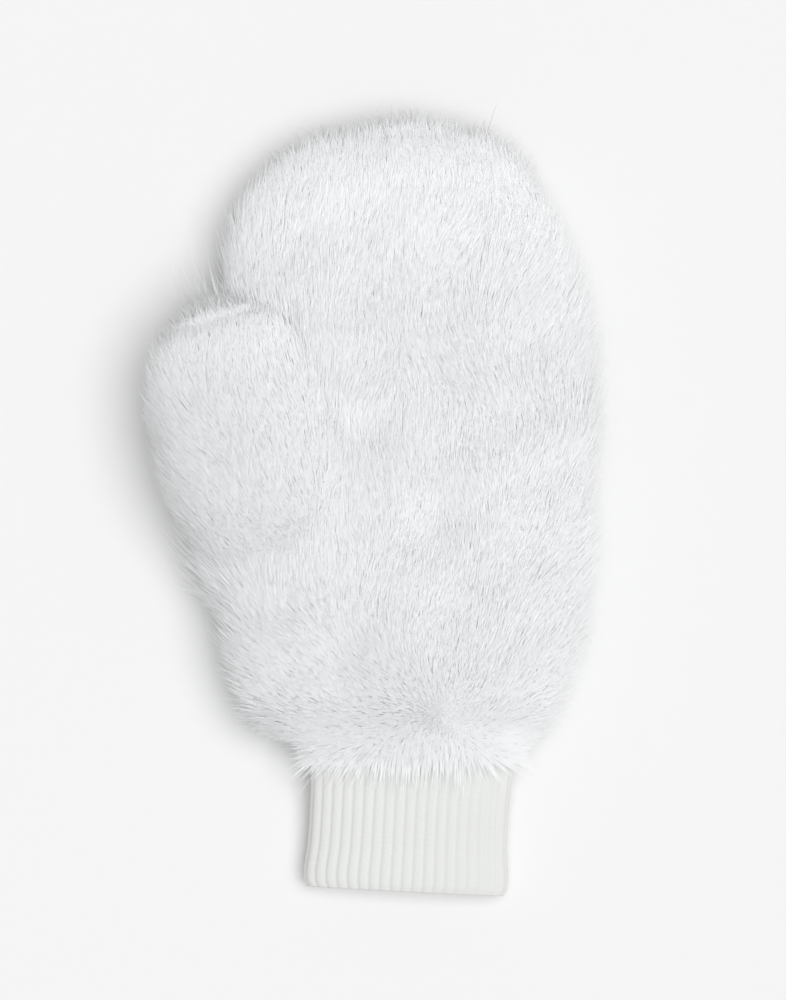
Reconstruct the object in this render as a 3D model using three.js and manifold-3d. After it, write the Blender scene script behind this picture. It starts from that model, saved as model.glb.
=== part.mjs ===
// A fur mitten lying flat: a pouch of deep-pile fur fabric for the hand, a fur thumb sewn over a
// window in the pouch, and a ribbed knit cuff sewn inside its wrist. Millimetres, +Z up, +Y
// towards the fingertips, thumb towards -X. It is modelled with the middle of the wrist seam at
// x = 0, y = 0 and the floor at z = 0, then set down with its box's centre over the origin.
import * as THREE from "three";
import { mergeVertices } from "three/addons/utils/BufferGeometryUtils.js";
import Module from "manifold-3d";

const wasm = await Module();
wasm.setup();

// Fur fabric
const fabricThickness = 2; // the backing that the pile grows from
const seamGap = 0.3; // between pieces that are sewn together
const pileGap = 1.2; // between the tips of the thumb's pile and the hand's pile beside it
const flatness = 2.5; // superellipse exponent of the flattened tubes, 2 is an ellipse
const parting = 0.5; // share of the pile that is left between the locks
const shortLock = 0.76; // share of the length of every other lock
const unevenness = 0.1; // how much the locks' lengths differ
const stagger = 0.22; // how far the locks stand out of their row, as a share of its width
const roundOver = 0.83; // share of the way from which a closed end rounds over
const lastLock = 0.99; // share of the way to which the rows of locks reach
const handRings = 9; // sections of the smooth bodies
const thumbRings = 7;
const hollowSides = 24; // corners round the room for the hand

// Hand pouch
const handLength = 224; // wrist seam to fingertips, without pile
const handWidth = 112; // across the palm, without pile
const handHollow = 15; // height of the room for the hand
const handLock = 19; // length of a lock of the pile
const handLean = 0.6; // how far a lock leans towards the fingertips, for 1 outwards
const pressedPile = 9; // the pile under the mitten, flattened by its weight
const handRows = 19;
const handLocksAround = 21;

// Thumb
const thumbLength = 102; // from inside the pouch to its tip, without pile
const thumbWidth = 48;
const thumbHollow = 15;
const thumbLock = 16;
const thumbLean = 0.55;
const thumbSplay = 16; // degrees that it points away from the fingers
const thumbRoll = 14; // degrees that its outer side hangs down
const thumbRise = 15.5; // how far its tip lies above the palm's middle
const thumbAcross = 0.7; // where it starts, as a share of half the hand's width
const thumbAlong = 0.27; // where it starts, as a share of the hand's length
const thumbRows = 9;
const thumbLocksAround = 12;
const trappedPile = 3; // the hand's pile where the thumb lies on it

// Knit cuff
const cuffWidth = 74.5;
const cuffHeight = 14;
const cuffLength = 55.5; // with what is sewn inside the wrist
const cuffInset = 7; // how far it reaches into the wrist
const cuffSwing = 3; // degrees that its hem turns towards the thumb side
const cuffBend = 14; // the length over which it turns
const knitThickness = 3.2; // from crest to crest of the rib knit
const ribDepth = 1.1;
const ribCount = 40;
const wristOffset = 3.5; // how far the wrist's middle lies to the right of the palm's
const wristFlare = 18; // the length over which the pouch widens from the cuff to the hand

// The pouch from wrist to fingertips: along is a share of handLength, left and right of half the
// hand's width, height of its height, lift of the palm's height over the floor, lock of the
// lock's length and lean of its lean, negative where the pile falls over the cuff.
const HAND_SECTIONS = [
  { along: 0.0, left: 0.82, right: 0.79, height: 1.0, lift: 0.7, lock: 0.55, lean: -0.9 },
  { along: 0.05, left: 0.86, right: 0.83, height: 1.0, lift: 0.78, lock: 0.78, lean: -0.5 },
  { along: 0.11, left: 0.91, right: 0.88, height: 1.0, lift: 0.88, lock: 0.92, lean: 0.1 },
  { along: 0.18, left: 0.95, right: 0.93, height: 1.0, lift: 0.96, lock: 1.0, lean: 0.6 },
  { along: 0.3, left: 1.01, right: 1.01, height: 1.0, lift: 1.0, lock: 1.0, lean: 1.0 },
  { along: 0.45, left: 1.03, right: 1.04, height: 1.0, lift: 1.0, lock: 1.0, lean: 1.0 },
  { along: 0.6, left: 1.02, right: 1.04, height: 1.0, lift: 1.0, lock: 1.0, lean: 1.0 },
  { along: 0.7, left: 1.0, right: 1.02, height: 0.98, lift: 0.99, lock: 1.0, lean: 1.0 },
  { along: 0.78, left: 0.985, right: 0.96, height: 0.95, lift: 0.97, lock: 1.0, lean: 1.0 },
  { along: 0.84, left: 0.98, right: 0.89, height: 0.9, lift: 0.95, lock: 1.0, lean: 1.0 },
  { along: 0.9, left: 0.92, right: 0.8, height: 0.82, lift: 0.93, lock: 1.0, lean: 0.9 },
  { along: 0.94, left: 0.8, right: 0.71, height: 0.72, lift: 0.92, lock: 0.98, lean: 0.7 },
  { along: 0.97, left: 0.58, right: 0.55, height: 0.58, lift: 0.91, lock: 0.97, lean: 0.5 },
  { along: 0.99, left: 0.3, right: 0.28, height: 0.4, lift: 0.91, lock: 0.97, lean: 0.3 },
];

// The thumb from its hidden start to its tip: along is a share of thumbLength, width of
// thumbWidth, height of its height, rise of thumbRise, lock and lean of thumbLock and thumbLean.
const THUMB_SECTIONS = [
  { along: 0.0, width: 0.76, height: 0.8, rise: 0.0, lock: 0.4, lean: 0.2 },
  { along: 0.2, width: 0.9, height: 0.94, rise: 0.4, lock: 0.75, lean: 0.6 },
  { along: 0.42, width: 1.0, height: 1.0, rise: 0.75, lock: 1.0, lean: 1.0 },
  { along: 0.64, width: 1.0, height: 1.0, rise: 0.93, lock: 1.0, lean: 1.0 },
  { along: 0.8, width: 0.93, height: 0.95, rise: 1.0, lock: 1.0, lean: 1.0 },
  { along: 0.91, width: 0.8, height: 0.82, rise: 1.0, lock: 0.97, lean: 0.7 },
  { along: 0.97, width: 0.54, height: 0.6, rise: 1.0, lock: 0.95, lean: 0.4 },
];

// The cuff from wrist to hem: along is a share of cuffLength, width and height of the cuff's,
// lift of the way up from the hem's height to the wrist's, wall of the knit's thickness.
const CUFF_SECTIONS = [
  { along: 0.0, width: 1.0, height: 1.0, lift: 1.0, wall: 0.7 },
  { along: 0.13, width: 1.0, height: 1.0, lift: 1.0, wall: 1.0 },
  { along: 0.4, width: 0.985, height: 1.0, lift: 0.62, wall: 1.0 },
  { along: 0.7, width: 0.99, height: 1.0, lift: 0.2, wall: 1.0 },
  { along: 0.96, width: 1.01, height: 1.0, lift: 0.0, wall: 1.0 },
  { along: 1.0, width: 1.0, height: 0.95, lift: 0.0, wall: 0.6 },
];

// Where the pile on the upper side lies parted: across is a share of half the hand's width from
// its middle, along of its length, spread of half its width and depth of the lock's length.
const DENTS = [
  { across: 0.1, along: 0.36, spread: 0.2, depth: 0.32 },
  { across: 0.28, along: 0.23, spread: 0.18, depth: 0.3 },
  { across: -0.36, along: 0.15, spread: 0.2, depth: 0.3 },
  { across: 0.7, along: 0.36, spread: 0.2, depth: 0.24 },
  { across: 0.3, along: 0.07, spread: 0.2, depth: 0.24 },
  { across: -0.22, along: 0.52, spread: 0.18, depth: 0.26 },
];

const handHeight = handHollow + 2 * fabricThickness;
const thumbHeight = thumbHollow + 2 * fabricThickness;
const palmHeight = pressedPile + handHeight / 2;
const wristHeight = HAND_SECTIONS[0].lift * palmHeight;
const sleeveWall = seamGap + fabricThickness;
const beforeWrist = -0.03; // share of the way from which the room for the hand is cut

// A table as smooth curves: the value of a named column at a share of the way.
function curvesOf(table) {
  const shares = table.map((row) => row.along);
  const curves = {};
  for (const name of Object.keys(table[0])) {
    curves[name] = new THREE.CubicInterpolant(shares, table.map((row) => row[name]), 1);
  }
  return (name, along) => curves[name].evaluate(along)[0];
}

const handAt = curvesOf(HAND_SECTIONS);
const thumbAt = curvesOf(THUMB_SECTIONS);
const cuffAt = curvesOf(CUFF_SECTIONS);

// 1 up to the table's last section, then down to 0 at the closed end.
function closing(table, along) {
  return Math.min(1, (1 - along) / (1 - table.at(-1).along));
}

// A point of a superellipse with those half axes.
function superellipse(angle, across, up) {
  const power = 2 / flatness;
  const [c, s] = [Math.cos(angle), Math.sin(angle)];
  return new THREE.Vector2(
    Math.sign(c) * Math.abs(c) ** power * across,
    Math.sign(s) * Math.abs(s) ** power * up,
  );
}

const finePerStep = 48;

// Values from one end to before the other that divide a curve into equal lengths.
function evenSteps(count, from, to, pointAt) {
  const steps = finePerStep * count;
  const valueAt = (step) => from + ((to - from) * step) / steps;
  const lengths = [0];
  for (let i = 1; i <= steps; i++) {
    lengths.push(lengths[i - 1] + pointAt(valueAt(i)).distanceTo(pointAt(valueAt(i - 1))));
  }
  return Array.from({ length: count }, (_, n) =>
    valueAt(lengths.findIndex((length) => length >= (lengths[steps] * n) / count)),
  );
}

// Angles that divide a superellipse into equal lengths, from its right end round over its top.
function evenAngles(count, across, up) {
  return evenSteps(count, 0, 2 * Math.PI, (angle) => superellipse(angle, across, up));
}

// A repeatable value from -1 to 1, so that no two neighbouring locks are alike.
function vary(row, place) {
  const wave = Math.sin(row * 12.99 + place * 78.23) * 437.58;
  return 2 * (wave - Math.floor(wave)) - 1;
}

// A point of the pouch's backing, grown outwards by grow.
function handPoint(along, angle, grow = 0) {
  const y = along * handLength;
  const sleeve = 1 - THREE.MathUtils.smoothstep(y, cuffInset, cuffInset + wristFlare);
  const close = closing(HAND_SECTIONS, along);
  const side = Math.cos(angle) < 0 ? "left" : "right";
  const ownAcross = (handAt(side, along) * handWidth) / 2;
  const ownUp = (handAt("height", along) * handHeight) / 2;
  const across = THREE.MathUtils.lerp(ownAcross, cuffWidth / 2 + sleeveWall, sleeve) * close;
  const up = THREE.MathUtils.lerp(ownUp, cuffHeight / 2 + sleeveWall, sleeve) * close;
  const section = superellipse(angle, Math.max(across + grow, 0), Math.max(up + grow, 0));
  const forward = grow * THREE.MathUtils.smoothstep(along, roundOver, 1);
  const lift = THREE.MathUtils.lerp(handAt("lift", along) * palmHeight, wristHeight, sleeve);
  return new THREE.Vector3(section.x + wristOffset * sleeve, y + forward, section.y + lift);
}

const thumbStart = new THREE.Vector3(
  (-thumbAcross * handWidth) / 2,
  thumbAlong * handLength,
  palmHeight,
);
const thumbTurn = new THREE.Euler(
  0,
  -THREE.MathUtils.degToRad(thumbRoll),
  THREE.MathUtils.degToRad(thumbSplay),
  "ZYX",
);

// A point of the thumb's backing, grown outwards by grow.
function thumbPoint(along, angle, grow = 0) {
  const close = closing(THUMB_SECTIONS, along);
  const across = ((thumbAt("width", along) * thumbWidth) / 2) * close + grow;
  const up = ((thumbAt("height", along) * thumbHeight) / 2) * close + grow;
  const section = superellipse(angle, Math.max(across, 0), Math.max(up, 0));
  const forward = grow * THREE.MathUtils.smoothstep(along, roundOver, 1);
  const point = new THREE.Vector3(section.x, along * thumbLength + forward, section.y);
  point.applyEuler(thumbTurn);
  point.z += thumbAt("rise", along) * thumbRise;
  return point.add(thumbStart);
}

function meshGeometry(points, faces) {
  const geometry = new THREE.BufferGeometry().setFromPoints(points);
  geometry.setIndex(faces);
  return geometry;
}

// A closed body through rings of points, with each end closed round the middle of its ring.
function loft(rings) {
  const around = rings[0].length;
  const points = rings.flat();
  const faces = [];
  const start = points.length;
  const end = start + 1;
  const last = (rings.length - 1) * around;
  for (let i = 0; i < around; i++) {
    const j = (i + 1) % around;
    for (let below = 0; below < last; below += around) {
      const above = below + around;
      faces.push(below + i, above + j, below + j, below + i, above + i, above + j);
    }
    faces.push(start, i, j, end, last + j, last + i);
  }
  for (const ring of [rings[0], rings.at(-1)]) {
    const middle = new THREE.Vector3();
    ring.forEach((point) => middle.addScaledVector(point, 1 / around));
    points.push(middle);
  }
  return meshGeometry(points, faces);
}

// A closed band round an axis: each section is a closed outline, and the last joins the first.
function closedBand(sections) {
  const corners = sections[0].length;
  const faces = [];
  sections.forEach((_, index) => {
    const here = corners * index;
    const next = corners * ((index + 1) % sections.length);
    for (let corner = 0; corner < corners; corner++) {
      const other = (corner + 1) % corners;
      faces.push(here + corner, next + corner, next + other);
      faces.push(here + corner, next + other, here + other);
    }
  });
  return meshGeometry(sections.flat(), faces);
}

function solidOf(geometry) {
  const bare = geometry.clone();
  bare.deleteAttribute("normal");
  bare.deleteAttribute("uv");
  const merged = mergeVertices(bare, 1e-4);
  return new wasm.Manifold(
    new wasm.Mesh({
      numProp: 3,
      vertProperties: merged.attributes.position.array,
      triVerts: new Uint32Array(merged.index.array),
    }),
  );
}

// The largest body of a solid, without the crumbs that a cut leaves beside it.
function mainBody(solid) {
  return solid.decompose().sort((a, b) => b.volume() - a.volume())[0];
}

function geometryOf(solid) {
  const mesh = solid.getMesh();
  const geometry = new THREE.BufferGeometry();
  geometry.setAttribute("position", new THREE.BufferAttribute(mesh.vertProperties, 3));
  geometry.setIndex(new THREE.BufferAttribute(mesh.triVerts, 1));
  return geometry;
}

const closedEnd = 0.999; // share of the way at which a smooth body is capped

// The smooth body inside a surface, from a share of its way to its closed end, grown outwards.
function bodyOf(surface, angles, from, count, growAt) {
  const stations = evenSteps(count, from, 1, (along) => surface(along, 0));
  const rings = [...stations, closedEnd].map((along) =>
    angles.map((angle) => surface(along, angle, growAt(along))),
  );
  return solidOf(loft(rings));
}

// Where a lock that starts at a foot on the backing has its tip.
function lockTip(surface, along, angle, lean, length) {
  const foot = surface(along, angle);
  const out = surface(along, angle, 1).sub(foot).normalize();
  const near = 0.01;
  const nap = surface(along + near, angle).sub(surface(along - near, angle)).normalize();
  const direction = out.addScaledVector(nap, lean).normalize();
  return foot.addScaledVector(direction, length);
}

// The pile of one piece as a filled body: rows of locks that ring the backing, each with its
// parting behind it, leaning towards the closed end.
function pileOf({ surface, angles, from, to, rows, lockAt, leanAt }) {
  const rings = [angles.map((angle) => surface(from, angle))];
  const starts = evenSteps(rows, from, to, (along) => surface(along, 0));
  starts.forEach((start, row) => {
    const step = (starts[row + 1] ?? to) - start;
    const partings = [];
    const tips = [];
    angles.forEach((angle, place) => {
      const along = start + step * (0.5 + stagger * vary(place, row));
      const length = lockAt(along, angle);
      const reach = ((place + row) % 2 ? shortLock : 1) * (1 + unevenness * vary(row, place));
      partings.push(surface(along - step / 4, angle, length * parting));
      tips.push(lockTip(surface, along + step / 8, angle, leanAt(along), length * reach));
    });
    rings.push(partings, tips);
  });
  return solidOf(loft(rings));
}

// How long the hand's locks are at a place, shorter in the dents of the upper side.
function handLockAt(along, angle) {
  const point = handPoint(along, angle);
  let share = handAt("lock", along);
  if (Math.sin(angle) > 0) {
    for (const dent of DENTS) {
      const across = point.x - (dent.across * handWidth) / 2;
      const away = Math.hypot(across, point.y - dent.along * handLength);
      share *= 1 - dent.depth * Math.exp(-((away / ((dent.spread * handWidth) / 2)) ** 2));
    }
  }
  return share * handLock;
}

const handAngles = evenAngles(2 * handLocksAround, handWidth / 2, handHeight / 2);
const thumbAngles = evenAngles(2 * thumbLocksAround, thumbWidth / 2, thumbHeight / 2);
const hollowAngles = evenAngles(hollowSides, handWidth / 2, handHeight / 2);

// Everything below the surface that the mitten lies on.
function floorSolid() {
  const size = 2 * (handLength + cuffLength);
  const box = new THREE.BoxGeometry(size, size, size);
  box.translate(0, 0, -size / 2);
  return solidOf(box);
}

// The thumb's whole pile as a smooth body, out to its longest locks.
function thumbRoomWithPile() {
  const reachAt = (along) => {
    const lean = thumbAt("lean", along) * thumbLean;
    return (thumbAt("lock", along) * thumbLock * (1 + unevenness)) / Math.hypot(1, lean);
  };
  return bodyOf(thumbPoint, thumbAngles, 0, thumbRings, (along) => reachAt(along) + pileGap);
}

function handShell(thumbRoom, floor) {
  const pile = pileOf({
    surface: handPoint,
    angles: handAngles,
    from: 0,
    to: lastLock,
    rows: handRows,
    lockAt: handLockAt,
    leanAt: (along) => handAt("lean", along) * handLean,
  });
  const furred = bodyOf(handPoint, handAngles, 0, handRings, () => 0).add(pile);
  const trapped = bodyOf(handPoint, handAngles, 0, handRings, () => trappedPile - seamGap);
  const shell = furred.subtract(thumbRoomWithPile().subtract(trapped));
  const inside = bodyOf(handPoint, hollowAngles, beforeWrist, handRings, () => -fabricThickness);
  const room = inside.add(cuffBody(seamGap)).add(thumbRoom);
  return mainBody(shell.subtract(room).subtract(floor));
}

function thumbShell(thumbRoom, floor) {
  const pile = pileOf({
    surface: thumbPoint,
    angles: thumbAngles,
    from: 0.1,
    to: lastLock,
    rows: thumbRows,
    lockAt: (along) => thumbAt("lock", along) * thumbLock,
    leanAt: (along) => thumbAt("lean", along) * thumbLean,
  });
  const furred = bodyOf(thumbPoint, thumbAngles, 0, thumbRings, () => 0).add(pile);
  const hand = bodyOf(handPoint, handAngles, 0, handRings, () => trappedPile);
  return mainBody(furred.subtract(hand).subtract(thumbRoom).subtract(floor));
}

// A ring of the cuff at a share of its length, with the surface inset by a depth for each angle.
function cuffRing(along, angles, insetAt) {
  const past = along * cuffLength - cuffInset;
  const swing = THREE.MathUtils.degToRad(cuffSwing);
  const bend = THREE.MathUtils.smoothstep(past, 0, cuffBend);
  const z = THREE.MathUtils.lerp(cuffHeight / 2, wristHeight, cuffAt("lift", along));
  const middle = new THREE.Vector3(wristOffset - Math.tan(swing) * past * bend, -past, z);
  const turn = new THREE.Euler(0, 0, -swing * bend);
  return angles.map((angle, place) => {
    const inset = insetAt(place);
    const across = (cuffAt("width", along) * cuffWidth) / 2 - inset;
    const up = (cuffAt("height", along) * cuffHeight) / 2 - inset;
    const section = superellipse(angle, across, up);
    return new THREE.Vector3(section.x, 0, section.y).applyEuler(turn).add(middle);
  });
}

// Each rib has two points on its crest and one in the valley beside it.
const cuffAngles = evenAngles(3 * ribCount, cuffWidth / 2, cuffHeight / 2);
const isValley = (place) => place % 3 === 2;

// The cuff's crests as a filled body, grown outwards by grow.
function cuffBody(grow) {
  const crests = cuffAngles.filter((_, place) => !isValley(place));
  const rings = CUFF_SECTIONS.map(({ along }) => cuffRing(along, crests, () => -grow));
  return solidOf(loft(rings.reverse()));
}

function ribCuff() {
  const outside = CUFF_SECTIONS.map(({ along, wall }) => {
    const edge = ((1 - wall) * knitThickness) / 2;
    return cuffRing(along, cuffAngles, (place) => edge + (isValley(place) ? ribDepth : 0));
  });
  const inside = CUFF_SECTIONS.map(({ along, wall }) => {
    const edge = ((1 + wall) * knitThickness) / 2;
    return cuffRing(along, cuffAngles, () => edge);
  });
  const tube = [...inside.reverse(), ...outside];
  return closedBand(cuffAngles.map((_, place) => tube.map((ring) => ring[place])));
}

function cloth(name, color) {
  return new THREE.MeshStandardMaterial({ name, color, roughness: 1, metalness: 0 });
}

function piece(name, geometry, material) {
  const mesh = new THREE.Mesh(geometry, material);
  mesh.name = name;
  return mesh;
}

const floor = floorSolid();
const thumbRoom = bodyOf(thumbPoint, thumbAngles, 0, thumbRings, () => -fabricThickness);
const whiteFur = cloth("white_fur", "#f4f5f6");
const whiteKnit = cloth("white_knit", "#f3f4f1");
const mitten = new THREE.Group();
mitten.add(
  piece("hand_shell", geometryOf(handShell(thumbRoom, floor)), whiteFur),
  piece("thumb_shell", geometryOf(thumbShell(thumbRoom, floor)), whiteFur),
  piece("rib_cuff", ribCuff(), whiteKnit),
);

const middle = new THREE.Box3().setFromObject(mitten).getCenter(new THREE.Vector3());
mitten.position.set(-middle.x, -middle.y, 0);

export default mitten;
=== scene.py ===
# A white fur mitten lying flat: deep pile over a pouch and a thumb, and a ribbed knit cuff.
# Metres. The surfaces are worked out in the mitten's own frame, with the middle of its wrist
# seam at x = 0, y = 0, and set down over the frame's nodes.
import itertools
import math

import bpy
import numpy as np
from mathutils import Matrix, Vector


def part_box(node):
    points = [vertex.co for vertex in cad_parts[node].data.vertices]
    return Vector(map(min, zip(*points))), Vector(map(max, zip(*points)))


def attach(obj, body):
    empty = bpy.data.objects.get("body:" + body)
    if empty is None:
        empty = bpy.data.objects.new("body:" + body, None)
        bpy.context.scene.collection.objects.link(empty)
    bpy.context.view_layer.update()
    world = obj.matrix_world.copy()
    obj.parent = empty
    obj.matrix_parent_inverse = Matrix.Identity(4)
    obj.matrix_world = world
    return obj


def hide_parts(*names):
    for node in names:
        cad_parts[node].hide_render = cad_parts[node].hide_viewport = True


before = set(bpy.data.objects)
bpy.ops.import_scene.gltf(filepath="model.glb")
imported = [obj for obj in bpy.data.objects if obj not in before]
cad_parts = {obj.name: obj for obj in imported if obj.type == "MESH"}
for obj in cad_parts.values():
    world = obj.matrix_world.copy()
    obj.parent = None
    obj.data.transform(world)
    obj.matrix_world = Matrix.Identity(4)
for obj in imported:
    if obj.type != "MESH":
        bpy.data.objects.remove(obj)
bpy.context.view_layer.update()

MM = 0.001

# Seeds of the random draws and of the soft noise
STRAND_SEED = 11
HAND_DEPTH_SEED = 5
THUMB_DEPTH_SEED = 6
TURN_SEED = 7
HAND_TUFT_SEED = 100
THUMB_TUFT_SEED = 200

# Fur fabric
FABRIC_THICKNESS = 2 * MM
SEAM_GAP = 0.3 * MM
FLATNESS = 2.5  # power of the sections' superellipses

# Hand pouch
HAND_LENGTH = 224 * MM
HAND_WIDTH = 112 * MM
HAND_HOLLOW = 15 * MM  # its height
HAND_HOLLOW_END = 0.97  # share of the length
HAND_PILE = 15 * MM
HAND_NAP = 1.4  # how far the pile leans, as a share of how far it rises
PRESSED_PILE = 9 * MM

# Thumb
THUMB_LENGTH = 102 * MM
THUMB_WIDTH = 48 * MM
THUMB_HOLLOW = 15 * MM
THUMB_HOLLOW_END = 0.9
THUMB_PILE = 12.5 * MM
THUMB_NAP = 1.4
THUMB_SPLAY = math.radians(16)
THUMB_ROLL = math.radians(14)
THUMB_RISE = 15.5 * MM
THUMB_ACROSS = 0.7  # place of its start: share of half the hand's width to the left
THUMB_ALONG = 0.27  # and of the hand's length
END_STEEPNESS = 10  # how fast a point counts as further out past the thumb's ends

# Knit cuff
CUFF_WIDTH = 74.5 * MM
CUFF_HEIGHT = 14 * MM
CUFF_LENGTH = 55.5 * MM
CUFF_INSET = 7 * MM
CUFF_SWING = math.radians(3)
CUFF_BEND = 14 * MM
WRIST_OFFSET = 3.5 * MM
WRIST_FLARE = 18 * MM
KNIT_THICKNESS = 3.2 * MM
RIB_COUNT = 40
RIB_DEPTH = 0.55 * MM
INNER_RIB_DEPTH = 0.35 * MM
VALLEY_POWER = 2  # over 1, the valleys are narrower than the ribs
STITCH_LENGTH = 1.9 * MM
STITCH_DEPTH = 0.16 * MM
POINTS_A_RIB = 10
CUFF_ROWS = 90
CUFF_INNER_ROWS = 24

# Hairs in each piece of fur: the cross-sections of one under its tip, and its height as a share
# of the pile's. Here and below, a pair is a value at the sides and one on the upper side.
GUARD_HAIRS = dict(count=15000, rings=3, width=0.25 * MM, height=(1.12, 1.0))
DOWN = dict(count=30000, rings=2, width=0.34 * MM, height=(0.55, 0.8))
HAIRS = GUARD_HAIRS["count"] + DOWN["count"]
SHORTEST = (0.6, 0.82)  # share of its kind's height
LONGEST = 1.08
LEAST_RISE = 0.3  # share of a hair's length that it rises at least, so that none shoots far out
RIBBON_TAPER = 0.55  # width at the last cross-section, as a share of the root's
RIBBON_ROLL = 0.3
RIBBON_LIFT = 0.7  # how far a ribbon's flat side turns from the surface's facing to up

# How hairs lean along the nap and stray from it
LEAN = (0.42, 1.0)
ROOT_LEAN = 1.05
TIP_LEAN = 1.5
TIP_RISE = 0.5
WILDNESS = (0.136, 0.056)  # how far single hairs leave the nap
TIP_WILDNESS = 1.6  # share of the root's
SWIRLS = [(60 * MM, 0.3), (22 * MM, 0.2)]  # size and strength
END_FAN = 1.1  # how far the pile turns towards the closed end
END_FAN_FROM = 0.72
TURN_WANDER = 0.03  # how far the nap's turn wanders, as a share of the hand's length
TURN_WANDER_SIZE = 55 * MM
COWLICK = 16 * MM  # where the outward turns to the left and to the right part
COWLICK_SPREAD = 22 * MM

# Tufts: their size, how far hairs cross into the next one as a share of it, and the pull
WIDE_TUFT = 9 * MM
FINE_TUFT = 3.2 * MM
TUFT_STRAY = 0.14
WIDE_PULL = (0.38, 0.06)
FINE_PULL = (0.75, 0.12)
PULL_POWER = 1.5  # over 1, the pull is felt more at the tips

# Numbers that mix up a cell of space into values with no pattern to the eye
CELL_STEPS = np.array([73856093, 19349663, 83492791])
SEED_STEP = 7919
MIXING_WAVES = (12.9898, 78.233, 37.719)
MIXING_HEIGHT = 43758.5453

# The pile's depth, and where hairs are rooted
UNDER_FUR = (0.35, 0.8)  # share of the pile's depth under the roots
ROOTED = 0.06  # share of it that the roots stand over the under-fur's surface
UNEVEN_DEPTH = 0.06
UNEVEN_SIZE = 26 * MM
UNDERSIDE_TOP = PRESSED_PILE + 2 * MM
UNDERSIDE_HAIRS = 0.15  # how thickly hairs stand on the underside, which lies on the floor
HAND_ROOTS_TRIED = 1.5  # for each hair, because roots inside the thumb are left out
THUMB_ROOTS_TRIED = 3
THUMB_FUR_START = 0.05
FUR_END = 0.9995
CREASE_FILL = 1.4  # how much higher the pile stands beside the thumb
CREASE_SPREAD = 0.3
FRINGE = 5.5 * MM  # the tallest hairs over the wrist's edge
FRINGE_SPREAD = 5 * MM
FRINGE_POWER = 1.2  # over 1, more of the fringe's hairs are short

# Where hairs and under-fur rest on the floor
FLOOR_CLEARANCE = 0.6 * MM
LYING_SPREAD = 0.02  # how much of their depth under the floor lying hairs keep
LOWEST_HAIR = 0.3 * MM
LOWEST_UNDER_FUR = 0.5 * MM

# Shading of the hairs, as parts of one soft surface
FIBRE_SHADING = 0.1  # share of a ribbon's own facing
FIBRE_ROUNDING = 0.1
LIGHT_THROUGH = 0.58  # how far the sides are shaded as if the light came through from above
CREASE_GLOW = 1.2  # the same for the thumb's side towards the hand
UV_COLUMNS = 256
UV_MARGIN = 0.1

# Fineness
SECTION_STEPS = 4096
SCATTER_ROWS = 400
SCATTER_COLUMNS = 361
HAND_GRID = (90, 128)  # rows and columns of an under-fur body
THUMB_GRID = (60, 96)
ROW_CROWDING = 1.35  # over 1, rows are closer together towards the closed end
LAST_ROW = 0.9999
WAVES = 9
WAVE_PITCHES = (0.5, 1.3)  # lowest and highest, as shares of the scale's own
WAVE_CREST = 1.5  # of the sum of waves, in standard deviations

# Colours: a hair's root and tip, and the two ends of a mottled surface
HAIR_COLOURS = ((0.92, 0.93, 0.94), (0.95, 0.955, 0.96))
HAIR_TIP_FROM = 0.7  # share of the length
HAIR_LEVELS = (0.98, 1.0)  # the darkest and the brightest hair
HAIR_TRANSLUCENCY = 0.08
# The under-fur's two mottled colours sit below the hairs' as painted shade of the deep pile.
UNDER_FUR_SHADED_COLOURS = ((0.75, 0.76, 0.77), (0.8, 0.805, 0.81))
KNIT_COLOURS = ((0.705, 0.715, 0.7), (0.76, 0.77, 0.755))

# Camera, light and floor
MM_A_PIXEL = 0.367 * MM
PHOTO_HEIGHT = 1000  # pixels
SENSOR = 36  # millimetres, as the camera's lens
CAMERA_X = 7 * MM
CAMERA_Y = 2.2 * MM
CAMERA_DISTANCE = 1.6
OUTLINE_HEIGHT = 18 * MM
WORLD_LIGHT = 0.32
KEY_TOWARDS = (0.22, 0.0, 1.0)
KEY_LIGHT = 2.52
KEY_ANGLE = math.radians(55)
BOUNCES = 14
FLOOR_REACH = 6.0
FLOOR_SHADE = 0.832

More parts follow.
